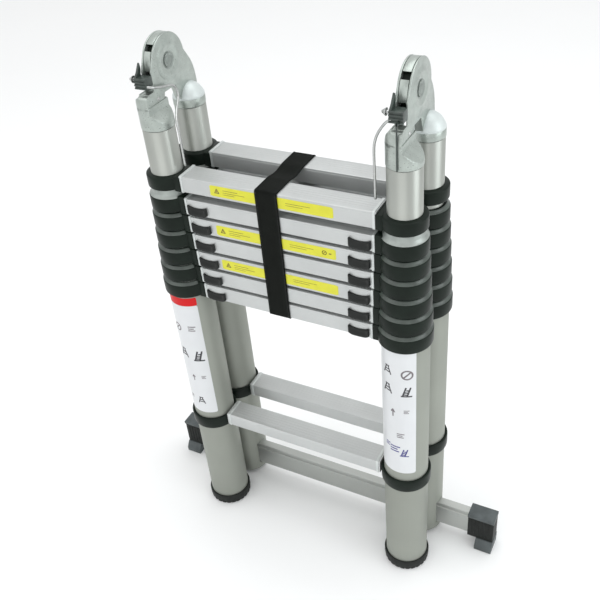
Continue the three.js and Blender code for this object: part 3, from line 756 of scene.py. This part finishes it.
def rear_tongue(side, s, x):
    """The tongue with its lock notches, and the pale cap that closes the rear tube."""
    plate = prism(tongue_outline(), along_x, x - TONGUE_HALF, x + TONGUE_HALF)
    tongue = make(f"hinge_tongue_{side}_plate", plate, "cast", bevel=0.7, steps=2, angle=50)
    for degrees in NOTCH_ANGLES:
        carve(tongue, prism(turned(notch(), degrees), along_x, x - TONGUE_HALF - 2, x + TONGUE_HALF + 2))
    fit(tongue, "rear_top", "hinge_casting", f"hinge_tongue_{side}")
    # Dark nylon linings in the notches paint the shade inside them.
    shade_linings = join(*[prism(turned(notch_shade_lining(), degrees), along_x, x - 5.9, x + 5.9)
                    for degrees in NOTCH_ANGLES])
    fit(make(f"hinge_tongue_{side}_notch_shade_linings", shade_linings, "collar"), "rear_top", "lock_plastic")
    wall = [(0, CAP_LOW), (CAP_R - 1, CAP_LOW), (CAP_R - 0.1, CAP_LOW + 0.8), (CAP_R, CAP_LOW + 1.6),
            (CAP_R, CAP_LOW + 13), (CAP_R - 0.8, CAP_LOW + 14), (0, CAP_LOW + 14)]
    for piece, profile, finish in (("crown", crown_profile(), "cap"), ("cap", wall, "cast")):
        solid = spin(profile, upright(s * STILE_X, STILE_Y), STILE_SIDES)
        solid = make(f"hinge_tongue_{side}_{piece}", solid, finish, sharp=50)
        fit(solid, "rear_top", "hinge_casting")


def pivot_pin(side, x):
    """The pin's two dished heads, one on the outside of each cheek."""
    head = [(0, -3), (6, -3), (6, 0), (11.3, 0), (11.5, 0.4), (11.2, 1.0), (10.2, 1.2), (9.0, 0.7),
            (8.0, 0.15), (7.2, 0.3), (6.2, 0.9), (4.4, 1.3), (0, 1.5)]
    heads = make(f"hinge_pin_{side}_heads", both_faces(head, x, CHEEK_OUT + 0.35, 48), "pin", sharp=50)
    fit(heads, "front_top", "hinge_steel", f"hinge_pin_{side}")


def sliding_lock(side, s, x):
    """Ribbed bar with a side wedge and, on the right, a guide tail; cone-headed pin and wire bail."""
    lock = f"hinge_lock_{side}"
    x0, x1 = x + LOCK_FROM, x + LOCK_TO
    front, back = LOCK_FRONT, LOCK_BACK
    ribbed = [(back, LOCK_LOW), (back, LOCK_HIGH), (front, LOCK_HIGH)]
    for z in (920.6, 916, 911.4):
        ribbed += [(front, z + 1.1), (front + 1.5, z + 0.7), (front + 1.5, z - 0.7), (front, z - 1.1)]
    wedge = [(front + 1, LOCK_HIGH - 1), (back - 2, LOCK_HIGH - 1), (-47.6, 934), (-48.6, 942), (-51.5, 938),
             (-57, 930)]
    bar = [prism(ribbed + [(front, LOCK_LOW)], along_x, x0, x1), prism(wedge, along_x, x0, x0 + 3.5)]
    if s > 0:
        bar += [block(199, 201, -73.6, -71.3, 844.2, 912), block(199, 201, -73.6, front + 1, 908, 912)]
        bend = [(x0 + 3, -63, 912), (x0 - 6, -61, 905), (168.5, -56, 889), (161.5, -52, 874),
                (BAIL_X, -50, 858)]
    else:
        bend = [(x1 - 3, -63, 912), (-186, -53, 908), (-184, -31, 902), (-183, -14, 897), (-181, -8, 886),
                (-178, -13, 876), (-170, -32, 866), (-162, -47, 856), (-BAIL_X, -50, 842)]
    fit(make(f"{lock}_bar", join(*bar), "lock", bevel=0.45), lock, "lock_plastic", lock)
    t = x0 + 2
    pin = spin([(0, t), (2.6, t), (2.6, t - 6), (5.5, t - 6.5), (5.3, t - 7.6), (1.6, t - 13), (0, t - 13.5)],
               crosswise(*LOCK_PIN_AT), 28)
    bail = wire([*bend, (s * BAIL_X, -50, 820), (s * BAIL_X, -50, 784.5)], BAIL_R)
    fit(make(f"{lock}_bail", join(pin, bail), "steel", sharp=50), lock, "hinge_steel")


for side, s in SIDES:
    x = s * HINGE_X + HINGE_SHIFT
    front_shell(side, s, x)
    rear_tongue(side, s, x)
    pivot_pin(side, x)
    sliding_lock(side, s, x)


# ---- Front feet ----
FOOT_GROOVES = {0.6: 1.1, 2.4: 1.1, 7.5: 1.1, 9.2: 0.33}


def foot_profile():
    """Rubber cap with a socket for the tube."""
    socket = tube_r(SECTIONS) + 0.35
    return [(0, 0), (FOOT_R - 4.2, 0), (FOOT_R - 2.2, 0.6), (FOOT_R - 0.9, 2.4), (FOOT_R - 0.4, 7.5),
            (FOOT_R - 0.2, 9.2), (FOOT_R, 10.5), (FOOT_R, FOOT_TALL - 3), (FOOT_R - 0.5, FOOT_TALL - 1),
            (FOOT_R - 1.6, FOOT_TALL), (tube_r(SECTIONS) + 0.9, FOOT_TALL), (socket, FOOT_TALL - 0.8),
            (socket, 4), (0, 4)]


def ribbed_upright(x, y):
    """As upright, with upright grooves as deep as FOOT_GROOVES says for each height."""
    def place(r, a, t):
        if round(a * FOOT_SIDES / (2 * math.pi)) % 6 in (0, 1):
            r -= FOOT_GROOVES.get(t, 0)
        return (x + r * math.cos(a), y + r * math.sin(a), t)
    return place


for side, s in SIDES:
    foot = spin(foot_profile(), ribbed_upright(s * STILE_X, -STILE_Y), FOOT_SIDES)
    foot = make(f"front_foot_{side}_cap", foot, "rubber", sharp=35)
    fit(foot, "front_base", "foot_rubber", f"front_foot_{side}")


# ---- Stabilizer bar ----
def bar_profile():
    """Box section with a stepped ledge near the top and the bottom of both walls."""
    y0, y1 = BAR_Y - BAR_DEEP / 2, BAR_Y + BAR_DEEP / 2
    near = [(y0 + 2.6, BAR_LOW), (y0 + 1.8, BAR_LOW + 0.8), (y0 + 1.8, BAR_LOW + 6.4),
            (y0 + 0.6, BAR_LOW + 7.4), (y0, BAR_LOW + 8.2), (y0, BAR_HIGH - 9.6), (y0 + 0.5, BAR_HIGH - 8.9),
            (y0 + 2.2, BAR_HIGH - 8.3), (y0 + 2.2, BAR_HIGH - 1.0), (y0 + 3.2, BAR_HIGH)]
    far = [(y0 + y1 - y, z) for y, z in reversed(near)]
    return near + far


bar = make("stabilizer_bar_extrusion", prism(bar_profile(), along_x, -BAR_HALF, BAR_HALF), "bar", sharp=30)
fit(bar, "rear_base", "bar_aluminium", "stabilizer_bar")

for side, s in SIDES:
    half = BAR_FOOT_DEEP / 2
    front, rear = BAR_Y - half, BAR_Y + half
    # The sleeve is black rubber set back behind the slate slab and pad; its black front also paints the shade
    # of the recess in the front of the block.
    sleeve = prism(rounded(front + 2.2, rear - 0.6, BAR_FOOT_LOW, BAR_FOOT_HIGH - 4, 2.6, 4), along_x,
                   s * (BAR_FOOT_IN + 0.6), s * (BAR_FOOT_OUT - 0.8))
    tread = [block(s * (BAR_FOOT_IN + 6 + 7 * k), s * (BAR_FOOT_IN + 8.5 + 7 * k), front + 1.3, front + 4,
                   BAR_FOOT_LOW + 8, BAR_FOOT_HIGH - 12) for k in range(6)]
    foot = make(f"bar_foot_{side}_sleeve", join(sleeve, *tread), "rubber", bevel=0.7, steps=2, angle=50)
    fit(foot, "rear_base", "foot_rubber", f"bar_foot_{side}")
    slab = prism([(front + 0.8, BAR_FOOT_HIGH - 7), (front, BAR_FOOT_HIGH - 6), (front, BAR_FOOT_HIGH),
                  (rear, BAR_FOOT_HIGH), (rear, BAR_FOOT_HIGH - 7)], along_x,
                 s * BAR_FOOT_IN, s * BAR_FOOT_OUT)
    pad = prism([(BAR_PAD_FRONT, 0), (BAR_PAD_FRONT, 4), (BAR_PAD_FRONT + 0.9, 5), (BAR_PAD_FRONT, 6),
                 (BAR_PAD_FRONT, 9), (front + 0.4, 23), (rear, 23), (rear, 0)], along_x,
                s * BAR_PAD_IN, s * BAR_FOOT_OUT)
    blocks = make(f"bar_foot_{side}_blocks", join(slab, pad), "bar_rubber", bevel=0.9, steps=3, angle=40)
    fit(blocks, "rear_base", "foot_rubber")
    z = (BAR_LOW + BAR_HIGH) / 2
    seat = STILE_Y + tube_r(SECTIONS) + 0.1
    hexagon = [(s * STILE_X + u, z + v) for u, v in arc(0, 0, 7.5, 0, 300, 5)]
    washer = spin([(0, seat - 0.3), (9, seat - 0.3), (9, seat + 0.6), (8.6, seat + 0.9), (0, seat + 0.9)],
                  deepwise(s * STILE_X, z), 32)
    head = prism(hexagon, along_y, seat + 0.8, seat + 4.2)
    bolt = make(f"bar_bolt_{side}_head", join(washer, head), "steel", bevel=0.4)
    fit(bolt, "rear_base", "hinge_steel", f"bar_bolt_{side}")


# ---- Carry strap ----
def strap_path():
    """The loop's inner line in [y, z], with the top run sagging a little between the two rung stacks."""
    low = rung_low(SECTIONS) - STRAP_GAP
    high = rung_low(1) + RUNG_TALL + STRAP_GAP
    r, sag, sag_half = 2.6, 3.2, 24
    flat = STRAP_REACH - r
    tall = high - low - 2 * r
    line = []
    for k in range(33):
        y = (-1 + 2 * k / 32) * flat
        line.append((y, high - sag * max(0.0, 1 - (y / sag_half) ** 2) ** 1.5))
    line += arc(flat, high - r, r, 80, 10, 5)
    line += [(STRAP_REACH, high - r - tall * k / 48) for k in range(49)]
    line += arc(flat, low + r, r, -10, -80, 5)
    line += [(flat * (1 - 2 * k / 16), low) for k in range(17)]
    line += arc(-STRAP_REACH + r, low + r, r, -100, -170, 5)
    line += [(-STRAP_REACH, low + r + tall * k / 48) for k in range(49)]
    return line + arc(-STRAP_REACH + r, high - r, r, 170, 100, 5)


def band(path, x_mid, wide, thick):
    """A closed loop of webbing along a [y, z] path, with rounded edges and a slightly thicker selvedge."""
    n = len(path)
    lengths = [0.0]
    for a, b in zip(path, path[1:]):
        lengths.append(lengths[-1] + math.dist(a, b))
    half = wide / 2
    right = [(half / 2, 0.0), (half - 0.3, 0.0), (half, 0.25), (half, 0.75), (half - 0.4, 1.0),
             (half - 1.6, 1.0), (half - 2.1, 0.86), (half / 2, 0.9)]
    left = [(-u, t) for u, t in reversed(right)]
    section = left[5:] + [(0, 0.0)] + right + [(0, 0.92)] + left[:5]
    m = len(section)
    points, faces, uvs = [], [], []
    for k, (y, z) in enumerate(path):
        before, after = path[k - 1], path[(k + 1) % n]
        dy, dz = after[0] - before[0], after[1] - before[1]
        size = math.hypot(dy, dz)
        ny, nz = -dz / size, dy / size
        for u, t in section:
            d = t * thick
            points.append((x_mid + u, y + ny * d, z + nz * d))
            uvs.append((u * MM * 10, lengths[k] * MM * 10))
        for q in range(m):
            p = (q + 1) % m
            j = (k + 1) % n
            faces.append([k * m + q, k * m + p, j * m + p, j * m + q])
    return (points, faces), uvs


loop_shape, loop_uvs = band(strap_path(), STRAP_X, STRAP_WIDE, STRAP_THICK)
strap = make("carry_strap_webbing", loop_shape, "strap", sharp=60)
uv_layer = strap.data.uv_layers.new(name="band")
for corner in strap.data.loops:
    uv_layer.data[corner.index].uv = loop_uvs[corner.vertex_index]
fit(strap, "rear_top", "strap_webbing", "carry_strap")

stitches = []
for edge in (-1, 1):
    x = STRAP_X + edge * (STRAP_WIDE / 2 - 2.6)
    for z in range(0, 224, 6):
        low = rung_low(SECTIONS) + 3 + z
        for o in (-1, 1):
            d = o * STRAP_REACH + o * STRAP_THICK * 0.86
            stitches.append(block(x - 0.35, x + 0.35, d - 0.1, d + o * 0.22, low, low + 3.4))
thread = make("carry_strap_stitches", join(*stitches), "thread", bevel=0.1, steps=1)
fit(thread, "rear_top", "strap_webbing")
for soft in (strap, thread):
    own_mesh(soft)


# ---- Labels ----
def stroke(line, wide):
    """Flat quads along a polyline in [u, v], each short enough to follow a tube."""
    quads = []
    for (u0, v0), (u1, v1) in zip(line, line[1:]):
        size = math.hypot(u1 - u0, v1 - v0)
        du, dv = (u1 - u0) / size, (v1 - v0) / size
        nu, nv = -dv * wide / 2, du * wide / 2
        count = max(1, math.ceil((size + 0.6 * wide) / 2.5))
        step = (size + 0.6 * wide) / count
        for k in range(count):
            near, far = k * step - 0.3 * wide, (k + 1) * step - 0.3 * wide
            corners = ((near, 1), (near, -1), (far, -1), (far, 1))
            quads.append([(u0 + du * d + o * nu, v0 + dv * d + o * nv) for d, o in corners])
    return quads


# Plain pictograms on a square from -1 to 1: ladders, a prohibition ring, an arrow, bars of text, a sign.
ICONS = {
    "steps": [[(-0.9, -1), (-0.25, 0.95)], [(0.9, -1), (0.25, 0.95)], [(-0.45, 1), (0.45, 1)],
              [(-0.7, -0.5), (0.7, -0.5)], [(-0.5, 0.15), (0.5, 0.15)]],
    "ladder": [[(-0.7, -1), (-0.1, 1)], [(0.1, -1), (0.7, 1)],
               *[[(-0.55 + 0.3 * k, -0.6 + 0.5 * k), (0.25 + 0.15 * k, -0.6 + 0.5 * k)] for k in range(3)],
               [(-0.9, -1), (0.9, -1)]],
    "ring": [arc(0, 0, 0.95, 0, 360, 20), [(-0.6, -0.6), (0.6, 0.6)]],
    "arrow": [[(0, -1), (0, 0.8)], [(-0.4, 0.2), (0, 0.9), (0.4, 0.2)]],
    "bars": [[(-0.9, 0.7), (0.9, 0.7)], [(-0.9, 0.1), (0.4, 0.1)], [(-0.9, -0.5), (0.7, -0.5)]],
    "sign": [[(-0.8, -0.7), (0, 0.8), (0.8, -0.7), (-0.8, -0.7)], [(0, -0.35), (0, 0.2)]],
}


def icon(kind, cu, cv, size):
    quads = []
    for line in ICONS[kind]:
        quads += stroke([(cu + u * size, cv + v * size) for u, v in line], 0.3 * size)
    return quads


def printed(quads, place, high):
    """Thin raised ink: each quad becomes a small closed slab on the surface that place maps to."""
    shapes = []
    for quad in quads:
        points = [place(u, v, 0.02) for u, v in quad] + [place(u, v, high) for u, v in quad]
        faces = [[0, 1, 2, 3], [4, 5, 6, 7]] + [[k, (k + 1) % 4, 4 + (k + 1) % 4, 4 + k] for k in range(4)]
        shapes.append((points, faces))
    return join(*shapes)


def film(u0, u1, v0, v1, place, radius=2.0, columns=1):
    """A thin film patch with rounded corners, in columns so that it can follow a tube."""
    edges = []
    for k in range(columns + 1):
        u = u0 + (u1 - u0) * k / columns
        edge = min(u - u0, u1 - u)
        inset = radius - math.sqrt(max(0.0, radius ** 2 - (radius - edge) ** 2)) if edge < radius else 0
        edges.append((u, v0 + inset, v1 - inset))
    points, faces = [], []
    for u, a, b in edges:
        points += [place(u, a, 0), place(u, a, FILM), place(u, b, FILM), place(u, b, 0)]
    for k in range(columns):
        for q in range(4):
            p = (q + 1) % 4
            faces.append([4 * k + q, 4 * k + p, 4 * k + 4 + p, 4 * k + 4 + q])
    last = 4 * columns
    return points, faces + [[0, 1, 2, 3], [last, last + 1, last + 2, last + 3]]


# Yellow strips on rungs 1, 3 and 5 of the front half.
RUNG_LABEL_FROM, RUNG_LABEL_TO, RUNG_LABEL_TALL = -109, 99, 18.5
for i in (1, 3, 5):
    body = body_of("front", i)
    face = -STILE_Y - RUNG_DEEP / 2
    z0 = rung_low(i) + 4.0

    def on_rung(u, v, t, face=face, z0=z0):
        return (u, face - 0.03 - t, z0 + v)

    strip = film(RUNG_LABEL_FROM, RUNG_LABEL_TO, 0, RUNG_LABEL_TALL, on_rung, 1.5, 60)
    strip = make(f"rung_label_{i}", strip, "yellow", sharp=30)
    fit(strip, body, "rung_label_film")
    quads = icon("sign", -97, 9.6, 4.6)
    for u0, u1, v, wide in ((-86, -60, 12.4, 0.8), (-86, -48, 8.6, 0.7), (-86, -66, 5.4, 0.7),
                            (22, 62, 11, 0.7), (22, 50, 7.4, 0.7)):
        quads += stroke([(u0, v), (u1, v)], wide)
    if i == 3:
        quads += icon("ring", 80, 9.4, 3.6) + stroke([(88, 9), (91, 9)], 2)
    marks = make(f"rung_label_{i}_marks", printed(quads, on_rung, FILM + INK), "ink_brown", sharp=30)
    fit(marks, body, "rung_label_film")

# White panels on the front base tubes, with small pictograms.
PANEL_FROM, PANEL_TO = -157, -44
PANEL_WIDE = math.radians(PANEL_TO - PANEL_FROM) * tube_r(SECTIONS)
# Each icon has its kind, its middle in [u, v] on the panel, its size and its ink.
PANELS = {
    "left": {"low": 267, "high": 523, "icons": [
        ("ring", 27, 203, 7.8, "ink_grey"), ("bars", 58, 205, 7.2, "ink_grey"),
        ("steps", 30, 145, 9.1, "ink"), ("ladder", 60, 142, 10.4, "ink"),
        ("arrow", 42, 88, 6.5, "ink_grey"), ("bars", 62, 90, 4.4, "ink_grey"),
        ("steps", 48, 31, 7.2, "ink"), ("bars", 26, 34, 4.4, "ink_grey")]},
    "right": {"low": 272, "high": 545, "icons": [
        ("steps", 27, 229, 7.8, "ink"), ("ring", 61, 226, 9.1, "ink_grey"),
        ("steps", 27, 190, 8.5, "ink"), ("ladder", 60, 190, 9.1, "ink"),
        ("arrow", 37, 141, 7.8, "ink_grey"), ("bars", 60, 146, 4.7, "ink_grey"),
        ("bars", 50, 90, 6.5, "ink_grey"), ("bars", 40, 56, 9.1, "ink_blue"),
        ("ladder", 56, 50, 7.8, "ink_blue"), ("bars", 26, 62, 5.2, "ink_blue")]},
}
for side, s in SIDES:
    panel = PANELS[side]
    r = tube_r(SECTIONS) + 0.04

    def on_tube(u, v, t, s=s, r=r, low=panel["low"]):
        a = math.radians(PANEL_FROM) + u / tube_r(SECTIONS)
        return (s * STILE_X + (r + t) * math.cos(a), -STILE_Y + (r + t) * math.sin(a), low + v)

    tall = panel["high"] - panel["low"]
    sheet = make(f"tube_label_{side}", film(0, PANEL_WIDE, 0, tall, on_tube, 3, 48), "white", sharp=40)
    fit(sheet, "front_base", "label_film")
    for ink in ("ink", "ink_grey", "ink_blue"):
        quads = [q for *drawn, color in panel["icons"] if color == ink for q in icon(*drawn)]
        if quads:
            marks = printed(quads, on_tube, FILM + INK_ON_TUBE)
            fit(make(f"tube_label_{side}_{ink}", marks, ink, sharp=30), "front_base", "label_film")
    if side == "left":
        red = film(0, PANEL_WIDE, tall + 0.3, tall + 17, on_tube, 2, 48)
        fit(make("tube_label_left_band", red, "red", sharp=40), "front_base", "label_film")


# ---- Floor, light and camera ----
bpy.context.scene.view_settings.view_transform = "Standard"

floor_mesh = bpy.data.meshes.new("floor")
floor_mesh.from_pydata([(-20, -20, 0), (20, -20, 0), (20, 20, 0), (-20, 20, 0)], [], [[0, 1, 2, 3]])
floor_look = look("floor_pale", (0.90, 0.905, 0.905), 0.8, vary=0.005, blotch=1.5, specular=0.2)
floor_mesh.materials.append(floor_look)
add("floor", floor_mesh)

world = bpy.data.worlds.new("studio")
bpy.context.scene.world = world
world.use_nodes = True
tree = world.node_tree
sky = tree.nodes["Background"]
sky.inputs["Strength"].default_value = 0.95
place = tree.nodes.new("ShaderNodeTexCoord")
parts = tree.nodes.new("ShaderNodeSeparateXYZ")
tree.links.new(place.outputs["Generated"], parts.inputs["Vector"])
rise = ramp(tree, parts.outputs["Z"], (0.0, (0.90, 0.92, 0.93, 1)), (0.7, (1, 1, 1, 1)))
tree.links.new(rise, sky.inputs["Color"])


def soft_light(name, place, aim, size, watts, color=(1, 1, 1)):
    light = bpy.data.lights.new(name, "AREA")
    light.shape = "RECTANGLE"
    light.size, light.size_y = size
    light.energy = watts
    light.color = color
    obj = add(name, light)
    obj.location = place
    obj.rotation_euler = (Vector(aim) - Vector(place)).to_track_quat("-Z", "Y").to_euler()


soft_light("key", (-1.9, -1.9, 2.6), (0, 0, 0.5), (2.4, 2.4), 12)
soft_light("front", (0.4, -2.9, 1.3), (0, 0, 0.5), (2.6, 1.8), 10)
soft_light("side", (2.8, 0.0, 1.5), (0, 0, 0.5), (1.5, 2.2), 22, (0.93, 0.98, 1.0))
soft_light("top", (0.2, 0.4, 3.4), (0, 0, 0.4), (2.4, 2.4), 30, (0.97, 0.985, 1.0))

camera_data = bpy.data.cameras.new("camera")
camera_data.sensor_width = 36
camera_data.lens = 48.403
camera = add("camera", camera_data)
# The columns are the camera's right, up and back axes and its place, fitted to the photograph.
camera.matrix_world = Matrix((
    (0.88843377, -0.21368586, 0.40623121, 0.54980166),
    (0.45162845, 0.56498351, -0.69052543, -0.94811222),
    (-0.08195842, 0.79695168, 0.59845704, 1.34993229),
    (0, 0, 0, 1),
))
bpy.context.scene.camera = camera
